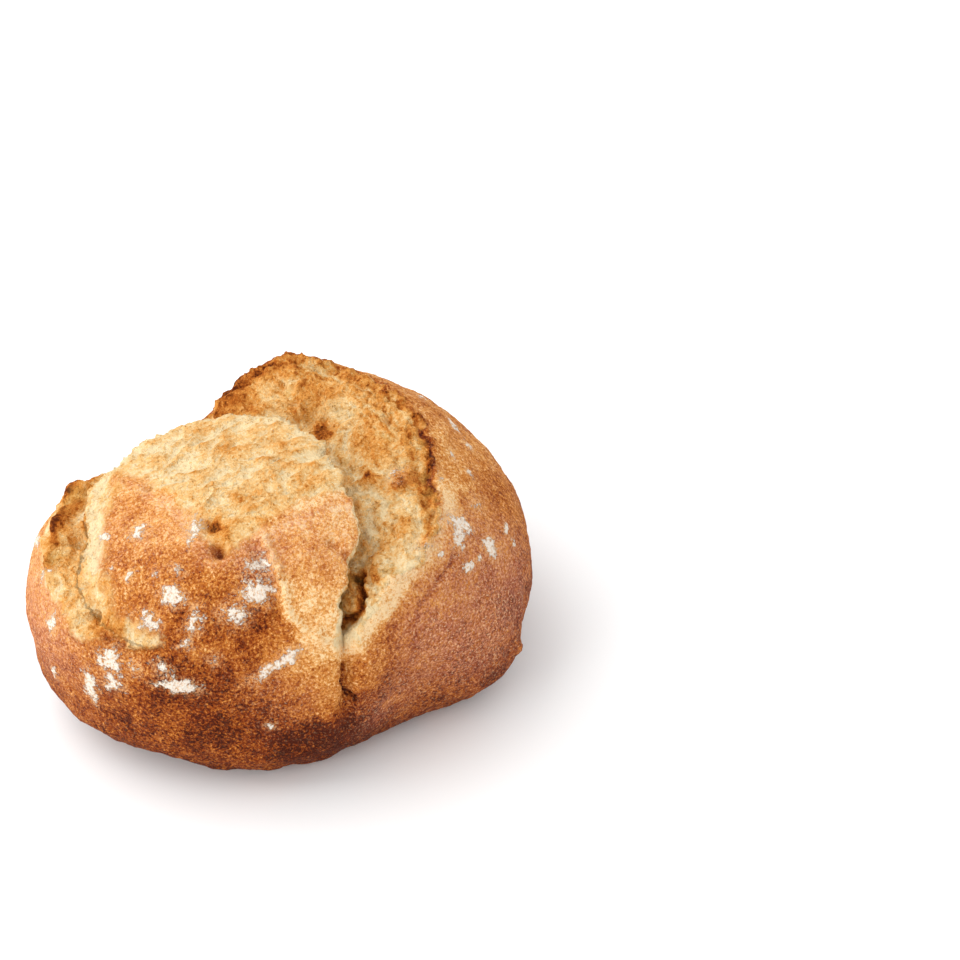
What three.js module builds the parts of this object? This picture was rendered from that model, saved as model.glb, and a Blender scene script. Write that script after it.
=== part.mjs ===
// A crusty bread roll, baked as one piece: a rounded loaf body on a flat base, split along one long
// horseshoe tear where the risen crown pushed up out of the outer skin.
// Millimetres, +Z up, origin under the middle of the roll on the surface it rests on.
import * as THREE from 'three';
import { mergeVertices } from 'three/addons/utils/BufferGeometryUtils.js';

// Driving dimensions of the loaf body, before the tear is opened.
const HALF_LENGTH = 54.5; // along X, from the middle to the end
const HALF_WIDTH = 46; // along Y, from the middle to the side
const CROWN_HEIGHT = 56.5; // from the base to the top
const BELLY_HEIGHT = 17; // where the roll is widest
const SQUARENESS = 2.55; // 2 would be a plain ellipsoid, and more is boxier
const UNDERCUT = 1.3; // how far the underside's curve would run on below the base, in belly heights
const RIM_FADE = 16; // how far a raised or sunken rim takes to melt back into the crust
const FINENESS = 20; // how often each edge of the icosahedron is split

// Waves in the outline seen from above, as shares of its radius: how many round, cosine and sine.
const OUTLINE_WAVES = [
  { around: 1, cosine: 0.015, sine: 0.05 },
  { around: 2, cosine: 0, sine: 0.08 },
  { around: 3, cosine: -0.07, sine: -0.03 },
];

// Places where the dough swells or sinks: direction from the belly's middle, rise and spread.
const SWELLINGS = [
  { longitude: 165, latitude: 38, rise: 3.5, spread: 20 }, // back left shoulder
  { longitude: -120, latitude: 62, rise: 3.5, spread: 20 }, // top of the crown
  { longitude: -62, latitude: -5, rise: -6.5, spread: 14 }, // hollow below the front seam
  { longitude: -10, latitude: 15, rise: 3.7, spread: 20 }, // right end
  { longitude: -160, latitude: -5, rise: -6, spread: 22 }, // left end, tucked in
  { longitude: -142, latitude: -16, rise: -1, spread: 9 }, // front left foot
  { longitude: -85, latitude: -22, rise: -1.2, spread: 9 }, // foot below the front seam
  { longitude: -52, latitude: -18, rise: -0.8, spread: 8 }, // tuck beside the front right foot
  { longitude: -38, latitude: -7, rise: 4, spread: 15 }, // front right foot
  { longitude: -26, latitude: -3, rise: -2.2, spread: 6 }, // notch at the right end
  { longitude: 98, latitude: 30, rise: -2.2, spread: 12 }, // back, below the end of the rim
  { longitude: 81, latitude: 47, rise: 2.4, spread: 8 }, // highest stretch of the rim
  { longitude: 47, latitude: 46, rise: -2.4, spread: 9 }, // dip where the rim slopes down
];

// The tear's deepest line, from the closed seam at the front, over the back of the crown, to the
// left end. The crown lies on its inner side and the outer skin's rim on its outer side.
// Longitude, latitude, depth, then width and rise of the inner side, width and rise of the rim.
const TEAR = [
  [-89, -8, 0, 4, 0, 4, 0],
  [-88, 6, 1.2, 4, 0.3, 4, 0.2],
  [-87.5, 15, 2.2, 4.5, 0.5, 4.5, 0.3],
  [-87, 22, 2, 5, 0.5, 5, 0.5],
  [-86, 29, 3.5, 5, 0.8, 5, 0.8],
  [-84.5, 37, 6, 5, 1, 7, 1],
  [-77, 47, 7, 5, 1.2, 12, 1.5],
  [-66, 54, 6, 5, 1.2, 15, 1.8],
  [-57, 63, 6, 5, 1.5, 18, 1.5],
  [-40, 72, 6.5, 5, 1.5, 21, 1.5],
  [10, 75, 7, 5, 1.2, 22, 2],
  [45, 73, 8, 5, 1, 22, 2.6],
  [64, 70, 8, 5, 0.8, 21, 5.4],
  [80, 66.5, 6.5, 5, 0, 18, 8.2],
  [89, 64, 6.5, 5, -0.3, 16, 6.6],
  [94, 62, 6.5, 5, -0.3, 14, 0.5],
  [103, 58, 7, 6, -0.5, 10, -4],
  [118, 49, 6.5, 7, 0.4, 7, -5.5],
  [135, 44, 6, 7, 0.2, 7, -4.8],
  [156, 41, 5.5, 7, -0.8, 6, -3.2],
  [170, 38, 5.5, 7, 0.5, 6, 0.5],
  [181, 35, 6, 8, 0.5, 5, 0.8],
  [188, 32, 4, 8, 0, 5, 0.5],
  [196, 28, 2, 7, 0, 5, 0.5],
  [204, 25.5, 2.2, 6, 0, 5, 0.5],
  [212, 25, 1.6, 5, 0, 5, 0.3],
  [222, 27, 0, 5, 0, 5, 0],
].map(([longitude, latitude, depth, ...sides]) => ({
  heading: direction(longitude, latitude),
  profile: [depth, ...sides],
}));
const TEAR_STEPS = 12; // places on the tear's line between two of its points

function direction(longitude, latitude) {
  const aside = THREE.MathUtils.degToRad(longitude);
  const above = THREE.MathUtils.degToRad(latitude);
  const flat = Math.cos(above);
  return new THREE.Vector3(flat * Math.cos(aside), flat * Math.sin(aside), Math.sin(above));
}

// The share by which the outline bulges at an angle seen from above.
function outlineShare(angle) {
  return OUTLINE_WAVES.reduce(
    (share, { around, cosine, sine }) =>
      share + cosine * Math.cos(around * angle) + sine * Math.sin(around * angle),
    1,
  );
}

// Distance from the belly's middle to the whole, untorn crust in a direction.
function crustReach(heading) {
  const share = outlineShare(Math.atan2(heading.y, heading.x));
  const across = Math.hypot(heading.x / HALF_LENGTH, heading.y / HALF_WIDTH) / share;
  const span = heading.z > 0 ? CROWN_HEIGHT - BELLY_HEIGHT : BELLY_HEIGHT * UNDERCUT;
  const upright = Math.abs(heading.z) / span;
  const even = (across ** SQUARENESS + upright ** SQUARENESS) ** (-1 / SQUARENESS);
  return SWELLINGS.reduce((reach, { longitude, latitude, rise, spread }) => {
    const away = THREE.MathUtils.radToDeg(heading.angleTo(direction(longitude, latitude)));
    return reach + rise * Math.exp(-(away ** 2) / (2 * spread ** 2));
  }, even);
}

function onCrust(heading, lift = 0) {
  const point = heading.clone().multiplyScalar(crustReach(heading) + lift);
  point.z += BELLY_HEIGHT;
  return point;
}

// The tear's line as a list of places, each with its point, its run and its profile.
function tearLine() {
  const spans = TEAR.length - 1;
  const curve = new THREE.CatmullRomCurve3(
    TEAR.map(({ heading }) => onCrust(heading)), false, 'catmullrom', 0.5,
  );
  const places = [];
  for (let step = 0; step <= spans * TEAR_STEPS; step += 1) {
    const at = step / TEAR_STEPS;
    const before = Math.min(Math.floor(at), spans - 1);
    const share = at - before;
    places.push({
      point: curve.getPoint(at / spans),
      run: curve.getTangent(at / spans),
      profile: TEAR[before].profile.map((value, i) =>
        THREE.MathUtils.lerp(value, TEAR[before + 1].profile[i], share)),
    });
  }
  return places;
}

// How far the tear lifts or sinks the crust at a point: a steep inner side, a slow outer one, and
// a rim that melts away past each side's width.
function tearLift(point, heading, places) {
  const near = places.reduce((best, place) =>
    point.distanceToSquared(place.point) < point.distanceToSquared(best.point) ? place : best);
  const away = point.distanceTo(near.point);
  const inwards = heading.clone().cross(near.run);
  const inner = point.clone().sub(near.point).dot(inwards) > 0;
  const [depth, innerWidth, innerRise, rimWidth, rimRise] = near.profile;
  const width = inner ? innerWidth : rimWidth;
  const rise = inner ? innerRise : rimRise;
  if (away > width) {
    return rise * (1 - THREE.MathUtils.smoothstep(away, width, width + RIM_FADE));
  }
  const climbed = inner
    ? THREE.MathUtils.smoothstep(away / width, 0, 1) ** 0.8
    : 1 - (1 - away / width) ** 1.6;
  return THREE.MathUtils.lerp(-depth, rise, climbed);
}

// A ball of even triangles, each corner pushed out to the torn crust and none below the base.
function rollGeometry() {
  const ball = new THREE.IcosahedronGeometry(1, FINENESS);
  ball.deleteAttribute('normal');
  ball.deleteAttribute('uv');
  const geometry = mergeVertices(ball, 1e-5);
  const places = tearLine();
  const corners = geometry.attributes.position;
  for (let i = 0; i < corners.count; i += 1) {
    const heading = new THREE.Vector3().fromBufferAttribute(corners, i).normalize();
    const torn = onCrust(heading, tearLift(onCrust(heading), heading, places));
    corners.setXYZ(i, torn.x, torn.y, Math.max(torn.z, 0));
  }
  geometry.computeVertexNormals();
  return geometry;
}

function breadRoll() {
  const crust = new THREE.MeshStandardMaterial({ color: 0xc8813f, roughness: 0.8, metalness: 0 });
  const roll = new THREE.Mesh(rollGeometry(), crust);
  roll.name = 'bread_roll';
  roll.geometry.computeBoundingBox();
  const middle = roll.geometry.boundingBox.getCenter(new THREE.Vector3());
  roll.position.set(-middle.x, -middle.y, 0);
  return roll;
}

const object = new THREE.Group();
object.add(breadRoll());

export default object;
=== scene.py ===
"""A crusty bread roll on a pale studio floor.

The roll is one baked body. A ball of dough is pushed out to the loaf's outline, split along the
horseshoe tear around its crown, re-skinned, and then given its crust, torn crumb, flakes and flour.
The working unit of the shaping is the millimetre, and the finished mesh is in metres.
"""
from math import cos, radians, sin

import bpy
import numpy as np
from mathutils import Matrix, Vector, kdtree, noise


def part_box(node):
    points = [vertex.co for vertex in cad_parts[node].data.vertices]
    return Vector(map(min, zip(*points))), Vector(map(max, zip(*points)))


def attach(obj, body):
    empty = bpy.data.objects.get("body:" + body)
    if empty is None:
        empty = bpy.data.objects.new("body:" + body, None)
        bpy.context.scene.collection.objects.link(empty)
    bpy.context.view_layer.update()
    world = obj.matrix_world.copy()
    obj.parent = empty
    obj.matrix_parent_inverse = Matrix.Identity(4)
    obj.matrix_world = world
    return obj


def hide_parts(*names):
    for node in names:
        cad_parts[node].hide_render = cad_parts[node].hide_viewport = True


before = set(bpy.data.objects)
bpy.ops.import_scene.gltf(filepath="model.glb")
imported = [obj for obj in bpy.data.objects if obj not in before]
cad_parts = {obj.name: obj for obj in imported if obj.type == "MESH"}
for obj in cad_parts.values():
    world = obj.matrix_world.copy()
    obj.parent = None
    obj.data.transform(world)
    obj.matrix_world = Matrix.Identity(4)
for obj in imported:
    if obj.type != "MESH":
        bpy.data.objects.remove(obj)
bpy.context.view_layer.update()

MM = 0.001

# The loaf body, from the frame's box.
LOW, HIGH = (np.array(corner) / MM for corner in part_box("bread_roll"))
LENGTH, WIDTH, HEIGHT = HIGH - LOW
HALF_LENGTH = 0.4993 * LENGTH
HALF_WIDTH = 0.489 * WIDTH
BELLY = 0.285 * HEIGHT  # height of the widest part
CROWN = 0.947 * HEIGHT  # height of the top before the tear
SQUARENESS = 2.55
UNDERCUT = 1.3
RIM_FADE = 16.0  # how far a raised rim takes to melt back into the crust
DOUGH_ROUNDS = 7  # subdivisions of the starting ball
SKIN_SIZE = 0.64  # edge length of the finished skin
SKIN_SMOOTHING = 4
WAY_SMOOTHING = 3

# Waves in the outline seen from above: how many round, share as cosine, share as sine.
OUTLINE_WAVES = [(1, 0.015, 0.05), (2, 0.0, 0.08), (3, -0.07, -0.03)]

# Swellings and hollows: longitude, latitude, rise in mm, spread in degrees.
SWELLINGS = [
    (165, 38, 3.5, 20),
    (-120, 62, 3.5, 20),
    (-62, -5, -6.5, 14),
    (-10, 15, 3.7, 20),
    (-160, -5, -6.0, 22),
    (-142, -16, -1.0, 9),
    (-85, -22, -1.2, 9),
    (-38, -7, 4.0, 15),
    (-26, -3, -2.2, 6),
    (98, 30, -2.2, 12),
    (73, 47, 1.55, 8),
    (47, 46, -2.4, 9),
    (-52, -18, -0.8, 8),
]

# The tear's deepest line: longitude, latitude, depth, inner width and rise, rim width and rise, and
# how far the inner edge leans out over it.
TEAR = [
    (-89, -8, 0.0, 3, 0.0, 3, 0.0, 0),
    (-88, 6, 1.6, 3, 0.4, 3.5, 0.2, 0),
    (-87.5, 15, 2.6, 2, 0.6, 2.4, 0.2, 0),
    (-87, 22, 2.0, 3, 0.6, 3, 0.4, 0),
    (-86, 29, 3.5, 3, 0.8, 3, 0.8, 0),
    (-85, 34, 5.5, 2.8, 1.0, 4, 1.0, 0.5),
    (-84, 39, 7.5, 3, 1.0, 8, 1.0, 1.5),
    (-77, 47, 8.0, 3, 1.2, 12, 1.5, 2.6),
    (-66, 54, 7.0, 3, 1.2, 15, 1.8, 2.6),
    (-57, 63, 7.5, 3, 1.5, 18, 1.5, 2.6),
    (-40, 72, 8.0, 3, 1.5, 21, 1.5, 2.6),
    (10, 75, 8.5, 3, 1.2, 22, 2.0, 2.6),
    (45, 73, 9.5, 4, 1.0, 22, 2.6, 2.6),
    (64, 70, 9.0, 4, 0.8, 21, 5.4, 2.6),
    (80, 66.5, 6.5, 4, 0.0, 18, 8.2, 2),
    (89, 64, 6.5, 4, -0.3, 16, 7.0, 1),
    (94, 62, 6.5, 4, -0.3, 14, 0.5, 1),
    (103, 58, 7.0, 5, -0.5, 10, -4.0, 0.5),
    (118, 49, 7.0, 7, 0.4, 7, -5.5, 0),
    (135, 44, 6.5, 7, 0.2, 7, -4.8, 0),
    (156, 41, 5.5, 7, -0.8, 5, -3.2, 0),
    (170, 38, 5.5, 7, 0.5, 5, 0.5, 0),
    (181, 35, 6.5, 8, 0.5, 4, 0.8, 0),
    (188, 32, 4.0, 8, 0.0, 4, 0.5, 0),
    (196, 28, 2.0, 7, 0.0, 4, 0.5, 0),
    (204, 25.5, 2.2, 6, 0.0, 3, 0.5, 0),
    (212, 25, 1.6, 5, 0.0, 3, 0.3, 0),
    (222, 27, 0.0, 3, 0.0, 3, 0.0, 0),
]
TEAR_WOBBLE = 1.1  # how far the torn edges wander, mm
TEAR_STEPS = 12  # places on the tear's line between two of its points
CREASE_STEPS = 12
TEAR_BLEND = 3.0  # mm over which neighbouring stretches of the tear blend
TEAR_ROUNDING = 0.1  # the rounded bottom's share of the tear's width

# Flakes and knobs pulled out of the crust: longitude, latitude, width, then the pull along X, Y
# and Z in mm.
PULLS = [
    (93, 52, 6.5, -3.4, 1.4, 1.4),  # the flap where the rim tore off
    (161, 36, 6, -0.2, 0.4, 3.4),  # knob above the left cavity
    (-36, -2, 4, 1.6, -1.2, 0.6),  # flake at the right end
    (-97, -22, 9, 0, -1.4, 0),  # foot of the front
    (-112, -22, 6, -0.4, -1.2, 0),
    (-127, -19, 6, -0.8, -1.0, 0),
]

# Areas on the crust, as outlines of longitude and latitude.
CROWN_CRUMB = [
    (159, 41), (165, 48), (179, 56), (188, 58), (206, 60), (220, 56), (233, 53), (241, 57),
    (247, 61), (269, 66), (287, 66), (302, 62), (303, 64), (320, 73), (380, 76), (420, 72),
    (448, 65), (462, 59), (472, 54), (495, 46),
]
TONGUE = [
    (248, 59), (252, 53), (254, 47), (255, 39), (259, 34), (262, 30), (269, 27),
    (273, 27), (273, 35), (275, 43), (281, 48), (289, 51), (298, 57), (302, 63),
    (287, 67), (269, 67),
]
LEFT_TEAR = [
    (160, 31), (170, 31), (180, 29), (187, 26), (194, 24), (200, 23), (207, 23), (218, 26),
    (222, 28), (213, 29), (207, 32), (200, 36), (193, 40), (186, 45), (176, 51), (160, 48),
]

# Creases in the skin: their course in longitude and latitude, width and depth in mm, darkening.
# A ridge has a negative depth, and a pale one a negative darkening. The darkening is partly a
# browner bake and partly painted shade in the crease.
CREASES = [
    ([(-88, 21), (-89, 17), (-88, 12), (-86, 8)], 1.2, 1.5, 0.8),
    ([(-73, 43), (-76, 39), (-80, 35), (-85, 31)], 1.3, 2.4, 1.0),
    ([(-83, 54), (-81, 47), (-84, 41)], 1.6, 1.0, 0.2),
    ([(-62, 48), (-69, 42), (-75, 36)], 1.2, 0.8, 0.45),
    ([(-56, 52), (-64, 46), (-71, 40), (-79, 33)], 1.5, -0.9, -0.25),
    ([(-49, 49), (-58, 44), (-66, 40)], 1.4, 0.7, 0.3),
    ([(-85, 27), (-80, 31), (-73, 36), (-63, 40), (-54, 42)], 4.6, -0.8, -0.42),
    ([(-112, 58), (-107, 51), (-104, 45), (-103, 39), (-99, 35), (-93, 30)], 1.7, -0.9, -0.4),
    ([(-115, 55), (-110, 49), (-108, 43), (-106, 38)], 2.4, 0.9, 0.1),
    ([(-45, 34), (-53, 32), (-62, 30)], 1.3, 0.4, 0.4),
    ([(-157, 25), (-153, 24), (-147, 24), (-139, 26)], 1.0, 0.9, 0.25),
    ([(84, 49), (72, 50), (60, 51), (48, 51)], 0.8, 0.8, 0.5),
    ([(56, 48), (40, 49), (27, 50), (14, 50)], 0.8, 0.7, 0.45),
    ([(30, 53), (18, 53), (6, 53), (-4, 52)], 0.8, 0.7, 0.4),
    ([(8, 49), (-6, 49), (-17, 49), (-28, 48), (-36, 46)], 1.5, 0.9, 0.58),
    ([(-12, 53), (-22, 51), (-31, 49), (-39, 47)], 0.8, 0.6, 0.45),
    ([(-30, 45), (-40, 44), (-50, 42), (-58, 41)], 1.0, 0.5, 0.4),
    ([(-118, 60), (-108, 62), (-98, 63), (-88, 63), (-78, 63)], 1.2, -0.3, 0.2),
    ([(-72, 64), (-66, 62), (-63, 58)], 1.6, -0.3, 0.5),
    ([(-131, 53), (-128, 52)], 1.8, 1.2, 0.5),
    ([(-139, 58), (-134, 58)], 2.2, 0.5, 0.35),
    ([(167, 36), (169, 34.5), (175, 33), (179, 32)], 2.3, -0.6, 0.6),
]

# Small holes in the skin: longitude, latitude, width and depth in mm.
PITS = [
    (-129, 52, 2.8, 2.8), (-136, 58, 3.2, 1.2), (182, 56, 2.0, 1.6), (-158, 27, 2.6, 2.2),
    (-142, 65, 1.4, 0.8), (52, 61, 5, 2.0), (-179, 35, 5, 1.5), (-14, 66, 3, 1.6), (37, 62, 2.5, 1.2),
]

# Flour that stayed on the crust: longitude, latitude, length and width in mm, tilt, strength.
FLOUR = [
    (-139, 39, 5.2, 3.3, 0, 1), (-142, 32, 4, 3.6, 0, 1), (-160, 48, 3.8, 3.5, 0, 0.7),
    (-142, 55, 7, 2.6, 110, 0.8), (-153, 39, 1.7, 2.8, 0, 0.95), (-159, 38, 1.5, 2.2, 0, 0.55),
    (-147, 42, 2.4, 2, 0, 0.5), (-141, 45, 3.8, 2.2, 0, 0.65), (-148, 32, 1.8, 2.4, 0, 0.5),
    (-131, 35, 3, 5.6, 0, 0.85), (-120, 38, 6, 5, 0, 0.7), (-132, 29, 3.2, 2.6, 0, 0.75),
    (-124, 26, 3, 3, 0, 0.5), (-150, 20, 4, 5, 0, 1), (-144, 20, 3.6, 3.6, 0, 0.6),
    (-137, 22, 3.2, 2.6, 0, 0.85), (-155, 10, 3, 8, 0, 1), (-149, 15, 4, 5, 0, 0.8),
    (-133, 18, 7, 3, 0, 1), (-167, 20, 2.6, 5.6, 0, 0.9), (-175, 27, 1.6, 4, 0, 0.85),
    (-167, 6, 2, 3.5, 0, 0.8), (-168, 42, 1.7, 2.7, 0, 0.85), (-113, 50, 5.5, 5, 0, 0.7),
    (-113, 44, 6, 4.5, 0, 1), (-107, 25, 10.5, 2.6, 30, 1), (11, 35, 5, 2.2, 0, 0.95),
    (1, 35, 4, 2.4, 0, 0.85), (-9, 42, 3.5, 1.6, 0, 0.6), (-14, 38, 1.8, 3, 0, 0.75),
    (-23, 46, 4.5, 1.2, 0, 0.6), (-24, 35, 4.5, 4, 0, 0.5), (-36, 37, 5, 5.5, 0, 1),
    (-41, 35, 3.5, 3, 0, 0.95), (-24, 25, 2.8, 2, 0, 1), (-25, 22, 2, 1.8, 0, 0.85),
    (-33, 27, 2.8, 4, 0, 1), (-43, 29, 3, 2.4, 0, 0.95), (-38, 28, 1.5, 1.4, 0, 0.8),
    (-50, 37, 1.5, 1.3, 0, 0.8), (-52, 41, 3.6, 4.5, 0, 0.5), (27, 35, 4.7, 1.8, 0, 0.8),
    (42, 36, 4, 2, 0, 0.7), (-25, 55, 5, 4, 0, 0.45), (-110, 5, 2, 1.3, 0, 1),
]

# Darker and lighter places on the crust: longitude, latitude, width in mm, change.
BAKED = [
    (-91, -6, 13, 0.5), (-100, -4, 11, 0.5), (-95, 36, 14, -0.1), (-95, 22, 16, -0.3),
    (-92, 8, 9, -0.06), (-72, 0, 6, -0.3), (-71, 9, 10, 0.15), (-133, 40, 15, 0.14),
    (-128, 15, 18, 0.05), (-57, 0, 14, -0.12), (-16, 28, 16, 0.08), (-97, 51, 12, 0.12),
    (-149, 35, 13, 0.1), (-164, 13, 14, 0.12), (-173, 20, 26, -0.2), (165, 22, 30, -0.15),
    (-125, 8, 28, 0.1), (-113, 13, 18, 0.08), (-115, 51, 9, 0.3), (-160, 47, 26, 0.09),
    (-135, 22, 12, 0.05), (-125, 30, 24, 0.12), (-138, 12, 20, 0.08), (-112, 38, 8, 0.2),
    (-168, 56, 14, -0.12), (-20, 10, 30, 0.08), (-45, 20, 26, 0.06), (-10, 30, 30, -0.1),
    (-50, 38, 14, -0.1),
]

# Darker and lighter places on the crumb: longitude, latitude, width in mm, change. Some darker
# # places, in holes, are painted shadow.
TOASTED = [
    (37, 63, 4, 0.6), (-27, 62, 3.5, 0.5), (-30, 54, 3, 0.5), (-25, 56, 6, -0.15), (-129, 56, 8, 0.25),
    (-136, 58, 3, 0.35), (-74, 44, 7, 0.3), (175, 38, 4, 0.4), (161.5, 35, 5, 0.42),
    (-157, 28, 9, 0.22), (-152, 26, 6, 0.2), (-174, 30, 7, 0.12), (-175, 70, 16, -0.12),
    (-62, 76, 9, 0.14), (156, 54, 14, -0.14), (-25, 50, 5, 0.15), (150, 38, 12, -0.2),
    (90, 51, 10, 0.42), (-60, 58, 5, 0.2), (-169, 58, 3, 0.3), (169, 65, 4, 0.2), (-171, 67, 4, 0.2),
    (160, 59, 5, 0.15), (164, 77, 5, 0.2), (-126, 69, 6, 0.18), (80, 88, 5, 0.12), (10, 60, 12, 0.1),
    (60, 55, 12, 0.1),
]

# Pinkish bloom on the crust: longitude, latitude, width in mm, strength.
HAZE = [
    (-45, 15, 36, 0.9), (-60, 22, 20, 0.5), (-30, 22, 24, 0.4), (-173, 18, 30, 1.0),
    (-150, 52, 22, 0.25), (-112, 52, 10, 0.7), (-105, 16, 20, 0.35), (-85, 55, 22, 0.5),
    (-162, 50, 26, 0.2), (-20, 54, 7, 0.8), (-75, 0, 14, 0.4), (-172, 40, 14, 0.4), (-40, 40, 18, 0.3),
]

# Torn strands swing round a place low on the front: its longitude and latitude, and how many mm of
# strand there are to a radian. Strands are given by width and length in mm, and the 1 keeps the
# strands on the tear's two sides apart.
STRAND_PIVOT = (-72, 5)
STRAND_TURN = 60
BROAD_STRANDS = (2.4, 13, 1)
THIN_STRANDS = (0.95, 6, 1)
STRAND_SHARPNESS = 2.8

# The crust's torn edge, in mm.
LIP_LINE = [(-86, 27), (-76, 33), (-65, 38), (-55, 40), (-44, 42), (-30, 43)]  # pale lip of the tear
EDGE_WIDTH = 1.1  # the crust's raised edge along the rim
LAYER_PLACE = 2.8  # a thin groove in the crumb, this far inside the edge
LAYER_WIDTH = 0.5
LEAN_REACH = 2.2  # how wide the crown's leaning edge is

FLOUR_SPREAD = 1.25  # a patch's faint edge reaches past its stated size
FLOUR_RAGGEDNESS = 1.3
STREWN_PATCHES = 34
TORN_HOLES = 46
CALM_HOLES = 26
AT_ONCE = 4000  # points compared with the whole tear at a time

FLOOR_SIZE = 6.0  # m
FLOOR_TONE = 0.94
LAMPS = [  # name, place in m, size in m, power in W
    ("key", (-0.3, 0.2, 0.5), 0.7, 2.6),
    ("side", (-0.5, -0.25, 0.25), 0.3, 0.8),
]
LAMP_AIM = Vector((0, 0, 0.03))

# The view: round to the left of the front and raised, then how far right and up of the loaf's
# belly it aims, and from how far off.
VIEW_TURN = radians(-20)
VIEW_RAISED = radians(40)
AIM_RIGHT = 42.6 * MM
AIM_UP = 38.5 * MM
VIEW_DISTANCE = 588.7 * MM


def heading(longitude, latitude):
    """The direction of a place on the loaf, from the middle of its belly."""
    aside, above = np.radians(longitude), np.radians(latitude)
    flat = np.cos(above)
    return np.stack([flat * np.cos(aside), flat * np.sin(aside), np.sin(above)], -1)


def ease(share):
    """A smooth step from 0 to 1."""
    share = np.clip(share, 0, 1)
    return share * share * (3 - 2 * share)


def bell(share):
    """1 at 0, falling to about a third at 1."""
    return np.exp(-(share**2))


def crust_reach(ways):
    """Distance from the belly's middle to the whole crust in each direction."""
    turn = np.arctan2(ways[:, 1], ways[:, 0])
    share = 1 + sum(c * np.cos(n * turn) + s * np.sin(n * turn) for n, c, s in OUTLINE_WAVES)
    across = np.hypot(ways[:, 0] / HALF_LENGTH, ways[:, 1] / HALF_WIDTH) / share
    upright = np.where(
        ways[:, 2] > 0, ways[:, 2] / (CROWN - BELLY), -ways[:, 2] / (BELLY * UNDERCUT))
    reach = (across**SQUARENESS + upright**SQUARENESS) ** (-1 / SQUARENESS)
    for longitude, latitude, rise, spread in SWELLINGS:
        away = np.degrees(np.arccos(np.clip(ways @ heading(longitude, latitude), -1, 1)))
        reach += rise * np.exp(-(away**2) / (2 * spread**2))
    return reach


def on_crust(ways):
    return ways * crust_reach(ways)[:, None] + (0, 0, BELLY)


def smooth_line(corners, steps):
    """A curve through the corners (Catmull-Rom), and where each of its points lies between them."""
    ends = np.vstack([2 * corners[0] - corners[1], corners, 2 * corners[-1] - corners[-2]])
    at = np.linspace(0, len(corners) - 1, steps * (len(corners) - 1) + 1)
    first = np.minimum(at.astype(int), len(corners) - 2)
    t = (at - first)[:, None]
    a, b, c, d = (ends[first + i] for i in range(4))
    curve = 2 * b + (c - a) * t + (2 * a - 5 * b + 4 * c - d) * t**2 + (3 * b - a - 3 * c + d) * t**3
    return curve / 2, at


def grain(points, size, octaves=3, seed=0):
    """Fractal noise about zero, with lumps of a size in mm."""
    start = Vector((seed * 17.3, seed * 5.1, -seed * 9.7))
    points = points / size
    return np.array([noise.fractal(Vector(p) + start, 0.8, 2.1, octaves) for p in points])


def shake(points, size, seed):
    """A wandering in X, Y and Z, with steps of a size in mm."""
    return np.stack([grain(points, size, 3, seed + axis) for axis in range(3)], 1)


class Tear:
    """The tear seen from each point of the skin."""

    def __init__(self, points, ways):
        rows = np.array(TEAR, float)
        points = points + TEAR_WOBBLE * shake(points, 5, 30)
        line, at = smooth_line(on_crust(heading(rows[:, 0], rows[:, 1])), TEAR_STEPS)
        run = np.gradient(line, axis=0)
        run /= np.linalg.norm(run, axis=1)[:, None]
        values = np.stack([np.interp(at, np.arange(len(rows)), column) for column in rows[:, 2:].T], 1)
        steps = np.linalg.norm(np.diff(line, axis=0), axis=1)
        walked = np.concatenate([[0], np.cumsum(steps)])
        count = len(points)
        self.away = np.empty(count)
        self.along = np.empty(count)
        self.inwards = np.empty((count, 3))
        side = np.empty(count)
        profile = np.empty((count, values.shape[1]))
        for start in range(0, count, AT_ONCE):
            part = slice(start, start + AT_ONCE)
            gap = np.linalg.norm(points[part, None] - line[None], axis=2)
            near = gap.argmin(1)
            least = gap.min(1)
            weight = np.exp((least[:, None] - gap) / TEAR_BLEND)
            weight /= weight.sum(1)[:, None]
            self.away[part] = least
            self.along[part] = walked[near]
            profile[part] = weight @ values
            inwards = np.cross(ways[part], run[near])
            self.inwards[part] = inwards
            side[part] = ((points[part] - line[near]) * inwards).sum(1)
        self.inner = side > 0
        self.depth, *sides, self.lean = profile.T
        self.width = np.where(self.inner, sides[0], sides[2])
        self.rise = np.where(self.inner, sides[1], sides[3])

    def lift(self):
        """How far the tear lifts or sinks the skin."""
        share = np.hypot(self.away, TEAR_ROUNDING * self.width) / self.width
        climb = np.where(self.inner, ease(share) ** 0.8, 0.5 * (ease(share) + np.clip(share, 0, 1)))
        inside = -self.depth + (self.rise + self.depth) * climb
        outside = self.rise * (1 - ease((self.away - self.width) / RIM_FADE))
        return np.where(share < 1, inside, outside)


def flat_map(ways):
    """Directions laid flat, in degrees from the top of the crown."""
    down = np.degrees(np.arccos(np.clip(ways[:, 2], -1, 1)))
    turn = np.arctan2(ways[:, 1], ways[:, 0])
    return np.stack([down * np.cos(turn), down * np.sin(turn)], -1)


def depth_inside(ways, outline):
    """Degrees from the edge of an area, more than zero inside it."""
    spots = flat_map(ways)
    corners = flat_map(heading(*np.array(outline, float).T))
    least = np.full(len(ways), 1e9)
    inside = np.zeros(len(ways), bool)
    for a, b in zip(corners, np.roll(corners, -1, axis=0)):
        edge = b - a
        share = np.clip((spots - a) @ edge / (edge @ edge), 0, 1)
        least = np.minimum(least, np.linalg.norm(spots - a - share[:, None] * edge, axis=1))
        crosses = (a[1] > spots[:, 1]) != (b[1] > spots[:, 1])
        reach = a[0] + (spots[:, 1] - a[1]) / (edge[1] if edge[1] else 1) * edge[0]
        inside ^= crosses & (spots[:, 0] < reach)
    return np.where(inside, least, -least)


def mesh_points(piece):
    points = np.empty(len(piece.data.vertices) * 3, np.float32)
    piece.data.vertices.foreach_get("co", points)
    return points.reshape(-1, 3).astype(float) / MM


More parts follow.
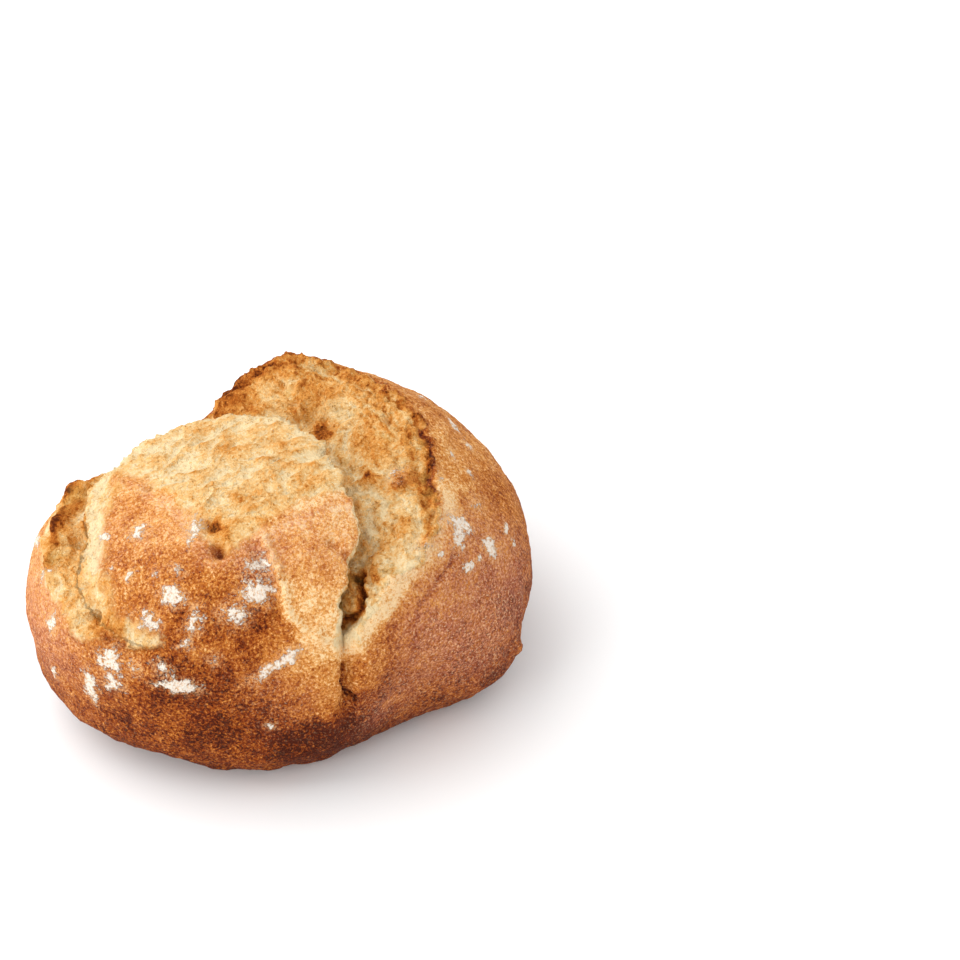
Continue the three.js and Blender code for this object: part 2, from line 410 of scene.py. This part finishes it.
def set_points(piece, points):
    piece.data.vertices.foreach_set("co", (points * MM).astype(np.float32).ravel())
    piece.data.update()


def mesh_normals(piece):
    normals = np.empty(len(piece.data.vertices) * 3, np.float32)
    piece.data.vertices.foreach_get("normal", normals)
    return normals.reshape(-1, 3).astype(float)


def soften(piece, values, rounds):
    """Averages values over neighbouring points."""
    edges = np.empty(len(piece.data.edges) * 2, np.int32)
    piece.data.edges.foreach_get("vertices", edges)
    a, b = edges.reshape(-1, 2).T
    count = len(piece.data.vertices)
    shared = np.bincount(a, minlength=count) + np.bincount(b, minlength=count)
    for _ in range(rounds):
        total = np.bincount(a, values[b], count) + np.bincount(b, values[a], count)
        values = 0.5 * values + 0.5 * total / shared
    return values


def apply_modifier(piece, kind, **settings):
    modifier = piece.modifiers.new(kind.lower(), kind)
    for name, value in settings.items():
        setattr(modifier, name, value)
    bpy.context.view_layer.objects.active = piece
    bpy.ops.object.modifier_apply(modifier=modifier.name)


# --- shaping ---------------------------------------------------------------------------------

def dough_ball():
    bpy.ops.object.select_all(action="DESELECT")
    bpy.ops.mesh.primitive_ico_sphere_add(
        subdivisions=DOUGH_ROUNDS, radius=BELLY * MM, location=(0, 0, 0))
    ball = bpy.context.object
    ball.name = ball.data.name = "bread_roll_loaf"
    return ball


def shape_loaf(ball):
    ways = mesh_points(ball)
    ways /= np.linalg.norm(ways, axis=1)[:, None]
    crust = on_crust(ways)
    tear = Tear(crust, ways)
    points = crust + ways * tear.lift()[:, None]
    # The crown's edge leans out over the tear.
    lean = tear.lean * bell((tear.away - tear.width) / LEAN_REACH)
    points -= tear.inwards * (lean * tear.inner)[:, None]
    for longitude, latitude, across, *pull in PULLS:
        gap = np.linalg.norm(crust - on_crust(heading(longitude, latitude)[None]), axis=1)
        points += np.exp(-((gap / (across / 2)) ** 3))[:, None] * np.array(pull)
    points[:, 2] = np.maximum(points[:, 2], 0)
    middle = (crust.min(0) + crust.max(0)) / 2
    wanted = (LOW + HIGH) / 2
    points[:, :2] += (wanted - middle)[:2]
    set_points(ball, points)
    return points, ways, (wanted - middle) * (1, 1, 0)


def reskin(loaf, points, ways):
    """An even skin over the shaped dough, with each of its points' direction."""
    apply_modifier(loaf, "REMESH", mode="VOXEL", voxel_size=SKIN_SIZE * MM, adaptivity=0)
    apply_modifier(loaf, "SMOOTH", factor=0.5, iterations=SKIN_SMOOTHING)
    tree = kdtree.KDTree(len(points))
    for i, point in enumerate(points):
        tree.insert(point, i)
    tree.balance()
    skin = mesh_points(loaf)
    near = np.array([tree.find(point)[1] for point in skin])
    found = ways[near]
    for axis in range(3):
        found[:, axis] = soften(loaf, found[:, axis], WAY_SMOOTHING)
    found /= np.linalg.norm(found, axis=1)[:, None]
    return skin, found


class Skin:
    """The finished skin's points with everything that the crust and the crumb are made from."""

    def __init__(self, loaf, points, ways):
        self.loaf = loaf
        self.points = points
        self.ways = ways
        self.home = on_crust(ways)
        self.tear = Tear(self.home, ways)
        self.shake = shake(self.home, 2.2, 20)

    def spot(self, longitude, latitude, long, wide=None, tilt=0, ragged=0):
        """1 at a place on the crust, falling to 0 at its edge; sizes in mm, tilt from east."""
        way = heading(longitude, latitude)
        place = on_crust(way[None])[0]
        east = np.cross((0, 0, 1), way)
        east /= np.linalg.norm(east)
        north = np.cross(way, east)
        gap = self.home - place + ragged * self.shake
        x, y = gap @ east, gap @ north
        c, s = cos(radians(tilt)), sin(radians(tilt))
        u, v = (x * c + y * s) / (long / 2), (y * c - x * s) / ((wide or long) / 2)
        depth = gap @ way / max(long, wide or long)
        return np.exp(-(u**2 + v**2 + depth**2))

    def line(self, corners, ragged=0.7):
        """Distance in mm from a line drawn on the crust through corners."""
        curve, _ = smooth_line(on_crust(heading(*np.array(corners, float).T)), CREASE_STEPS)
        home = self.home + ragged * self.shake
        away = np.full(len(home), 1e9)
        for place in curve:
            away = np.minimum(away, ((home - place) ** 2).sum(1))
        return np.sqrt(away)

    def raise_by(self, lift):
        self.points = self.points + mesh_normals(self.loaf) * lift[:, None]
        self.points[:, 2] = np.maximum(self.points[:, 2], 0)
        set_points(self.loaf, self.points)

    def keep(self, name, values):
        field = self.loaf.data.attributes.new(name, "FLOAT", "POINT")
        field.data.foreach_set("value", np.clip(values, 0, 1).astype(np.float32))


def find_areas(skin):
    """Where the skin is whole crust and where it is torn crumb."""
    home, tear = skin.home, skin.tear
    ragged = 2.2 * grain(home, 6, 4, 1)
    fade = 4 + 9 * skin.spot(-145, 50, 60)
    under_crown = depth_inside(skin.ways, CROWN_CRUMB)
    crown = ease((under_crown + ragged) / fade + 0.5)
    tongue = ease((depth_inside(skin.ways, TONGUE) + ragged) / 4 + 0.5)
    lid_side = 5 + 9 * skin.spot(-155, 42, 34)
    left = ease((depth_inside(skin.ways, LEFT_TEAR) + 1.4 * ragged) / lid_side + 0.5)
    rim_edge = tear.width - tear.away + 0.9 * ragged
    opened = ease((tear.depth - 2.5) / 2)
    rim = ease(rim_edge / 1.2 + 0.5) * ~tear.inner * opened
    wall = ease((tear.width - tear.away) / 1.0 + 0.5) * tear.inner * opened
    skin.crown, skin.tongue, skin.left, skin.rim, skin.wall = crown, tongue, left, rim, wall
    skin.fringe = bell((under_crown + ragged + 3) / 2.2)
    skin.rim_edge = rim_edge
    skin.crumb = np.maximum.reduce([crown * (1 - 0.9 * tongue), left, rim, wall])


def strands(skin):
    """Torn fibres: long arcs across the crown, and along the tear on its rim."""
    home, tear = skin.home, skin.tear
    pivot = on_crust(heading(*STRAND_PIVOT)[None])[0]
    gap = home - pivot
    away = np.linalg.norm(gap, axis=1) + 2.5 * grain(home, 13, 2, 2)
    turn = np.arctan2(gap[:, 0], gap[:, 1]) * STRAND_TURN
    flow = tear.away + 2.5 * grain(home, 8, 2, 3)
    across = np.where(tear.inner, away, flow)
    along = np.where(tear.inner, turn, tear.along)
    skin.flow = np.stack([across, along, np.where(tear.inner, 0, 50)], 1)
    broad = 1 - STRAND_SHARPNESS * abs(grain(skin.flow / BROAD_STRANDS, 1, 2, 4))
    thin = 1 - STRAND_SHARPNESS * abs(grain(skin.flow / THIN_STRANDS, 1, 2, 5))
    return 0.68 * broad + 0.32 * thin


def relief(skin):
    """Raises the crust, strands, torn edges, creases, pits and flour out of the smooth skin."""
    home, tear = skin.home, skin.tear
    skin.threads = strands(skin)
    skin.lumps = grain(home, 6.5, 4, 7)
    skin.fine = grain(home, 1.7, 3, 8)
    crust = 0.5 * grain(home, 15, 3, 9) + 0.32 * grain(home, 4, 4, 10)
    crown = 0.35 * skin.lumps + 0.75 * skin.threads + 0.3 * skin.fine
    rags = 1 - 3 * abs(grain(home, 3.4, 3, 16))
    torn = 0.75 * skin.lumps + 0.55 * skin.threads + 0.5 * skin.fine + 0.4 * rags
    torn *= 1 - 0.25 * skin.left
    skin.rough = np.maximum(skin.rim, skin.left)
    lift = crust * (1 - skin.crumb)
    lift += skin.crown * (1 - skin.rough) * (1 - 0.8 * skin.tongue) * crown
    lift += skin.rough * torn + skin.wall * 0.6 * skin.fine
    # The crust's broken edge stands a little over the crumb beside it.
    lift -= 0.35 * skin.crown * (1 - skin.tongue)
    outer = ~tear.inner * ease((tear.depth - 3) / 2)
    skin.ear = bell(skin.rim_edge / EDGE_WIDTH) * outer
    skin.layer = bell((skin.rim_edge - LAYER_PLACE) / LAYER_WIDTH) * outer
    lift += 0.6 * skin.ear * (1 + 1.6 * grain(home, 3, 2, 11)) - 0.5 * skin.layer
    skin.cuts = np.zeros(len(home))
    skin.folds = np.zeros(len(home))
    for corners, wide, deep, darker in CREASES:
        cut = bell(skin.line(corners) / (wide / 2))
        lift -= deep * cut
        skin.cuts = np.maximum(skin.cuts, darker * cut)
        skin.folds = np.minimum(skin.folds, darker * cut)
    skin.pits = np.zeros(len(home))
    for longitude, latitude, across, depth in PITS + crumb_holes(skin):
        pit = skin.spot(longitude, latitude, across)
        lift -= depth * pit
        # The pits' mask later carries painted shade into the crumb's colour.
        skin.pits = np.maximum(skin.pits, pit * min(1, depth / 1.5))
    skin.flour = np.zeros(len(home))
    for longitude, latitude, long, wide, tilt, strength in FLOUR + strewn_flour():
        patch = skin.spot(longitude, latitude, FLOUR_SPREAD * long, FLOUR_SPREAD * wide, tilt,
                          ragged=FLOUR_RAGGEDNESS)
        skin.flour = np.maximum(skin.flour, strength * patch)
    lift += 0.25 * ease(skin.flour * 2 - 0.5) * (1 + 0.8 * skin.fine) * (1 - skin.crumb)
    skin.raise_by(lift)


def strewn_flour():
    """Flour on the sides that face away from the torn front."""
    draw = np.random.default_rng(8)
    patches = []
    for _ in range(STREWN_PATCHES):
        long = draw.uniform(1.4, 5.5)
        patches.append((draw.uniform(22, 178), draw.uniform(-8, 40), long,
                        long * draw.uniform(0.4, 0.9), draw.uniform(-40, 40), draw.uniform(0.45, 1)))
    return patches


def crumb_holes(skin):
    """Small gas holes strewn over the torn faces."""
    draw = np.random.default_rng(5)
    torn = np.flatnonzero(skin.rough > 0.9)
    calm = np.flatnonzero(skin.crown * (1 - skin.tongue) > 0.95)
    chosen = [(i, draw.uniform(0.5, 1.3)) for i in draw.choice(torn, TORN_HOLES, replace=False)]
    chosen += [(i, draw.uniform(0.3, 0.6)) for i in draw.choice(calm, CALM_HOLES, replace=False)]
    holes = []
    for i, depth in chosen:
        x, y, z = skin.ways[i]
        place = (np.degrees(np.arctan2(y, x)), np.degrees(np.arcsin(z)))
        holes.append((*place, draw.uniform(1.2, 2.6), depth))
    return holes


def paint(skin):
    """How baked the crust and how toasted the crumb is, with flour, bloom, and painted shade in deep
    places.
    """
    home, tear = skin.home, skin.tear
    high = home[:, 2] / HEIGHT
    lip = skin.line(LIP_LINE)
    # The crust is darker towards the bottom: partly a deeper bake, partly painted shade where less
    # light falls.
    bake = 0.9 - 0.62 * high + 0.14 * grain(home, 9, 4, 12) + 0.08 * grain(home, 2.5, 3, 13)
    bake -= 0.45 * bell(lip / 2.6)
    for longitude, latitude, across, change in BAKED:
        bake += change * skin.spot(longitude, latitude, across, ragged=1.5)
    toast = 0.16 + 0.27 * skin.threads + 0.1 * grain(home, 7, 3, 14) + 0.12 * skin.fine
    edge = ease(2 * tear.away / tear.width - 1)
    toast += skin.rim * (0.05 + 0.13 * edge + 0.18 * skin.lumps)
    toast += 0.24 * skin.ear + 0.1 * skin.layer - 0.06 * skin.left
    # The crown's edge over the tear stays pale.
    toast -= 0.15 * bell((tear.away - tear.width) / 2.5) * tear.inner * (tear.depth > 3)
    for longitude, latitude, across, change in TOASTED:
        toast += change * skin.spot(longitude, latitude, across, ragged=1.5)
    # Creases darken the crust and crumb: partly a browner bake, partly painted shade.
    bake += 0.28 * skin.ear - 0.1 * skin.fringe - 0.16 * skin.tongue + skin.folds + 0.8 * skin.cuts
    toast += 0.6 * skin.folds + 0.8 * skin.cuts - 0.22 * bell(lip / 3.0)
    skin.keep("crumb", skin.crumb)
    skin.keep("bake", bake)
    skin.keep("toast", toast)
    skin.keep("flour", skin.flour)
    # Painted shade: a tint deep in the tear, in pits and in the troughs of the torn rim, where shadow
    # falls.
    reach = np.where(tear.inner, 2.2, 5.0 + 2.5 * skin.fine + 2 * skin.lumps)
    deep = ease(1 - tear.away / reach) * ease((tear.depth - 3.5) / 3)
    deep *= 0.75 + 0.8 * skin.lumps
    deep = np.maximum(deep * (1 - 0.75 * skin.left), 0.45 * skin.pits)
    skin.keep("painted_shade", np.maximum(deep, skin.rim * ease(-1.6 * skin.lumps - 0.2) * 0.6))
    haze = sum(strength * skin.spot(*place, across) for *place, across, strength in HAZE)
    skin.keep("haze", haze + 0.45 * skin.fringe + 0.1 * grain(home, 10, 3, 15))
    field = skin.loaf.data.attributes.new("flow", "FLOAT_VECTOR", "POINT")
    field.data.foreach_set("vector", skin.flow.astype(np.float32).ravel())


class Value:
    """An output socket. Sums, differences and products of it add Math nodes."""

    def __init__(self, tree, socket):
        self.tree = tree
        self.socket = socket

    def maths(self, operation, *others):
        return node(self.tree, "ShaderNodeMath", {"operation": operation},
                    dict(enumerate((self, *others))))

    def __add__(self, other):
        return self.maths("ADD", other)

    def __sub__(self, other):
        return self.maths("SUBTRACT", other)

    def __mul__(self, other):
        return self.maths("MULTIPLY", other)

    def __rsub__(self, other):
        return node(self.tree, "ShaderNodeMath", {"operation": "SUBTRACT"}, {0: other, 1: self})

    __radd__ = __add__
    __rmul__ = __mul__

    def rise(self, low, high):
        """0 below low, 1 above high, smooth between."""
        return node(self.tree, "ShaderNodeMapRange", {"interpolation_type": "SMOOTHSTEP"},
                    {"Value": self, "From Min": low, "From Max": high})


def node(tree, kind, settings=None, sockets=None, output=0):
    """Adds a node, with its settings first, then what goes into its sockets."""
    made = tree.nodes.new(kind)
    settings = dict(settings or {})
    stops = settings.pop("stops", None)
    for name, value in settings.items():
        setattr(made, name, value)
    if stops:
        ramp = made.color_ramp.elements
        for place, _ in stops[1:-1]:
            ramp.new(place)
        for element, (place, colour) in zip(ramp, stops):
            element.position = place
            element.color = (*colour, 1)
    for key, value in (sockets or {}).items():
        if isinstance(value, Value):
            tree.links.new(value.socket, made.inputs[key])
        else:
            made.inputs[key].default_value = value
    return Value(tree, made.outputs[output])


def rgb(red, green, blue):
    """A colour from its everyday 0 to 255 numbers."""
    shares = np.array((red, green, blue)) / 255
    return tuple(np.where(shares > 0.04045, ((shares + 0.055) / 1.055) ** 2.4, shares / 12.92))


def crust_material():
    material = bpy.data.materials.new("baked_crust")
    material.use_nodes = True
    tree = material.node_tree
    shader = tree.nodes["Principled BSDF"]
    place = node(tree, "ShaderNodeTexCoord", output="Object")

    def mask(name):
        return node(tree, "ShaderNodeAttribute", {"attribute_name": name}, output="Fac")

    def noise_of(size, detail=3, roughness=0.6, distortion=0.0):
        return node(tree, "ShaderNodeTexNoise", {},
                    {"Vector": place, "Scale": 1 / (size * MM), "Detail": detail,
                     "Roughness": roughness, "Distortion": distortion})

    def mix(a, b, share):
        return node(tree, "ShaderNodeMix", {"data_type": "RGBA"}, {0: share, 6: a, 7: b}, output=2)

    crumb, bake, toast = mask("crumb"), mask("bake"), mask("toast")
    flour, painted_shade, haze = mask("flour"), mask("painted_shade"), mask("haze")
    flow = node(tree, "ShaderNodeAttribute", {"attribute_name": "flow"}, output="Vector")
    flow = node(tree, "ShaderNodeVectorMath", {"operation": "MULTIPLY"},
                {0: flow, 1: (1 / 0.9, 1 / 3, 1)})
    fibre = node(tree, "ShaderNodeTexNoise", {},
                 {"Vector": flow, "Scale": 1, "Detail": 3, "Roughness": 0.7, "Distortion": 0.4})
    sand = noise_of(0.6, 3, 0.7)
    grit = noise_of(0.52, 2, 0.6, 0.6)
    clump = noise_of(1.5, 4, 0.7)
    blotch = noise_of(3.5, 4, 0.6)
    speck_and_glint = grit.rise(0.54, 0.66)
    pore_and_shade = noise_of(0.95, 2, 0.5).rise(0.57, 0.66)

    def crust_tone(level):
        return node(tree, "ShaderNodeValToRGB", {"stops": [
            (0.0, rgb(255, 220, 168)), (0.2, rgb(236, 172, 96)), (0.45, rgb(204, 124, 50)),
            (0.7, rgb(158, 76, 22)), (0.88, rgb(110, 42, 11)), (1.0, rgb(66, 22, 7))]},
            {"Fac": level})

    level = bake + 1.5 * (sand - 0.5) + 0.55 * (clump - 0.5) + 0.5 * (blotch - 0.5)
    # Pale specks: partly pale grains, partly painted glints.
    crust = mix(crust_tone(level + 0.05), crust_tone(level - 0.22), speck_and_glint)
    ruddy = noise_of(6, 3, 0.6).rise(0.42, 0.68) * bake.rise(0.25, 0.7)
    crust = mix(crust, (*rgb(144, 52, 18), 1), ruddy * (0.1 + 0.4 * haze))
    dust = noise_of(0.48, 1, 0.5).rise(0.58, 0.68) * (0.04 + 0.6 * haze)
    bloom = haze.rise(0.0, 1.0) * (0.12 + 0.5 * grit.rise(0.42, 0.6))
    crust = mix(crust, (*rgb(210, 142, 114), 1), bloom)
    crust = mix(crust, (*rgb(248, 202, 156), 1), dust)
    # In the crumb, pores are darkened as painted shade and specks are lightened as painted highlights.
    inside = node(tree, "ShaderNodeValToRGB", {"stops": [
        (0.0, rgb(244, 220, 174)), (0.25, rgb(238, 192, 126)), (0.5, rgb(222, 150, 70)),
        (0.75, rgb(180, 98, 32)), (1.0, rgb(92, 38, 12))]},
        {"Fac": toast + 0.5 * (fibre - 0.5) + 0.35 * (clump - 0.5) + 0.7 * (sand - 0.5)
         + 0.13 * pore_and_shade - 0.14 * speck_and_glint})
    # Painted shade: a greenish-grey shadow tint over the crumb in the tear's deep places, pits and
    # troughs.
    inside = mix(inside, (*rgb(176, 138, 68), 1), painted_shade.rise(0.1, 1) * 0.55)
    colour = mix(crust, inside, (crumb + 1.1 * (clump - 0.5) + 0.8 * (sand - 0.5)).rise(0.25, 0.75))
    powder = flour.rise(0.04, 0.45) * grit.rise(0.4, 0.6) * 0.55
    colour = mix(colour, (*rgb(238, 186, 134), 1), powder)
    dusted = (flour + 1.6 * (clump - 0.5) + 1.0 * (sand - 0.5)).rise(0.44, 0.68)
    white = mix((*rgb(228, 188, 146), 1), (*rgb(253, 244, 230), 1), sand.rise(0.34, 0.54))
    colour = mix(colour, white, dusted * 0.88)
    tree.links.new(colour.socket, shader.inputs["Base Color"])
    rough = 0.7 + 0.25 * crumb.maths("MAXIMUM", dusted)
    tree.links.new(rough.socket, shader.inputs["Roughness"])
    height = sand + grit * 0.7 + (fibre + clump - pore_and_shade * 0.4) * crumb + dusted * 0.35
    bump = node(tree, "ShaderNodeBump", {}, {"Strength": 1.0, "Distance": 0.6 * MM, "Height": height})
    tree.links.new(bump.socket, shader.inputs["Normal"])
    shader.inputs["Specular IOR Level"].default_value = 0.08
    return material


loaf = dough_ball()
points, ways, shift = shape_loaf(loaf)
points, ways = reskin(loaf, points, ways)
set_points(loaf, points)
skin = Skin(loaf, points, ways)
find_areas(skin)
relief(skin)
paint(skin)
bpy.ops.object.shade_smooth()
loaf.data.materials.append(crust_material())

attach(loaf, "root")
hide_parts("bread_roll")


# --- studio ----------------------------------------------------------------------------------

def studio():
    bpy.ops.object.select_all(action="DESELECT")
    bpy.ops.mesh.primitive_plane_add(size=FLOOR_SIZE, location=(0, 0, 0))
    floor = bpy.context.object
    floor.name = "floor"
    paper = bpy.data.materials.new("floor_paper")
    paper.use_nodes = True
    sockets = paper.node_tree.nodes["Principled BSDF"].inputs
    sockets["Base Color"].default_value = (FLOOR_TONE, FLOOR_TONE, FLOOR_TONE, 1)
    sockets["Roughness"].default_value = 0.9
    floor.data.materials.append(paper)
    world = bpy.data.worlds.new("room")
    world.use_nodes = True
    world.node_tree.nodes["Background"].inputs["Color"].default_value = (1, 1, 1, 1)
    world.node_tree.nodes["Background"].inputs["Strength"].default_value = 1.0
    bpy.context.scene.world = world
    for name, place, size, power in LAMPS:
        light = bpy.data.lights.new(name, "AREA")
        light.energy = power
        light.size = size
        lamp = bpy.data.objects.new(name, light)
        bpy.context.scene.collection.objects.link(lamp)
        aim = (Vector(place) - LAMP_AIM).to_track_quat("Z", "Y")
        lamp.matrix_world = Matrix.Translation(place) @ aim.to_matrix().to_4x4()


def camera(shift):
    back = Vector((sin(VIEW_TURN) * cos(VIEW_RAISED), -cos(VIEW_TURN) * cos(VIEW_RAISED),
                   sin(VIEW_RAISED)))
    right = Vector((cos(VIEW_TURN), sin(VIEW_TURN), 0))
    up = back.cross(right)
    aim = Vector(shift * MM) + right * AIM_RIGHT + up * AIM_UP
    lens = bpy.data.cameras.new("camera")
    lens.lens = 100
    lens.sensor_width = 36
    lens.clip_start = 0.01
    view = bpy.data.objects.new("camera", lens)
    turned = Matrix((right, up, back)).transposed().to_4x4()
    view.matrix_world = Matrix.Translation(aim + back * VIEW_DISTANCE) @ turned
    bpy.context.scene.collection.objects.link(view)
    bpy.context.scene.camera = view
    bpy.context.scene.view_settings.view_transform = "Standard"


studio()
camera(shift)
